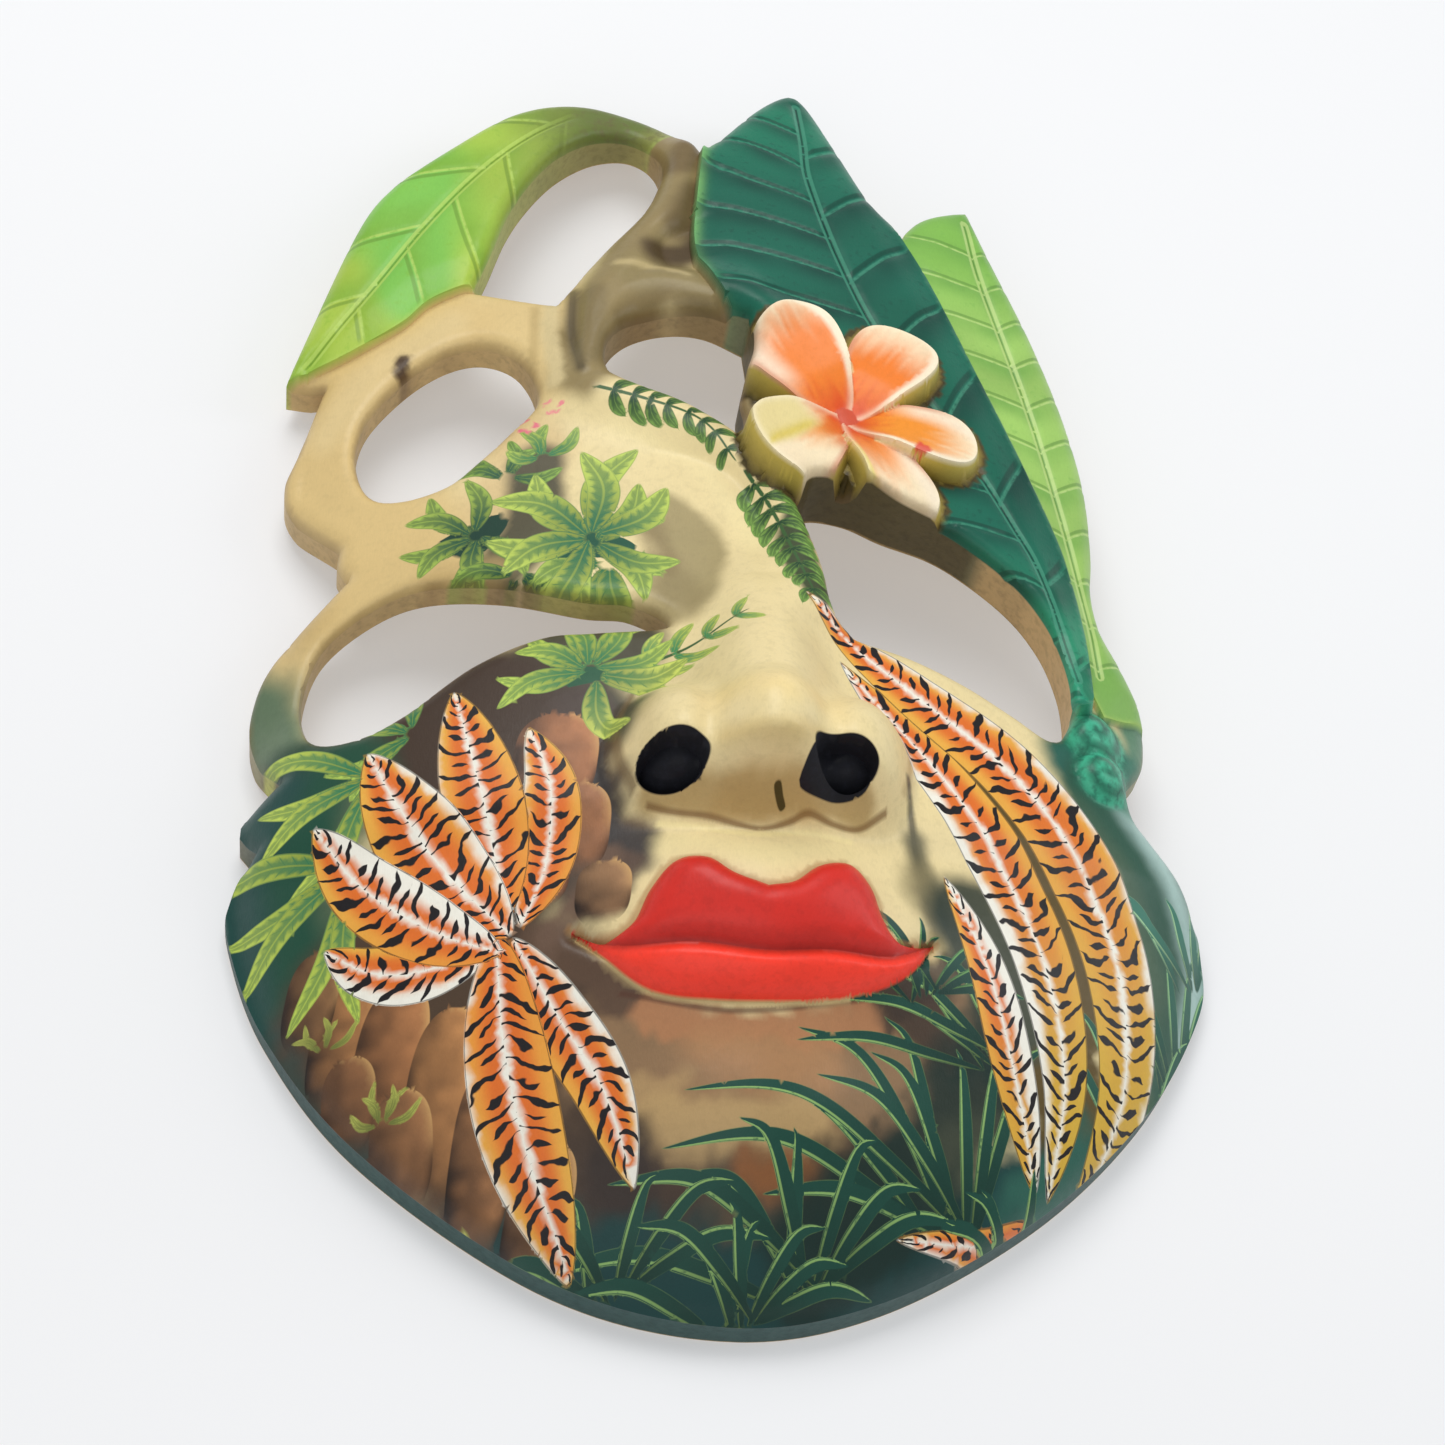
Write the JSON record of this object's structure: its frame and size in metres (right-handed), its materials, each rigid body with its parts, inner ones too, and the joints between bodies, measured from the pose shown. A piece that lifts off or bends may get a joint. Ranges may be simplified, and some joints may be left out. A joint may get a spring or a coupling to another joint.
{
  "type": "carved wall mask",
  "caption": "Pierced wooden wall mask, hollow behind: a face with a broad nose and full lips under a crown of vines, leaves and a flower, painted, made to hang on a wall.",
  "frame": {"origin": "on the surface that the mask lies on, under the middle of its outline", "axes": "+Z out of the face, +Y from the chin to the crown, +X to the right of someone who looks at the face"},
  "size_m": [0.2686, 0.407, 0.1002],
  "materials": {
    "painted_wood": "hand-painted light wood under a satin varnish"
  },
  "bodies": {
    "root": {"mask": "painted_wood"}
  },
  "joints": []
}
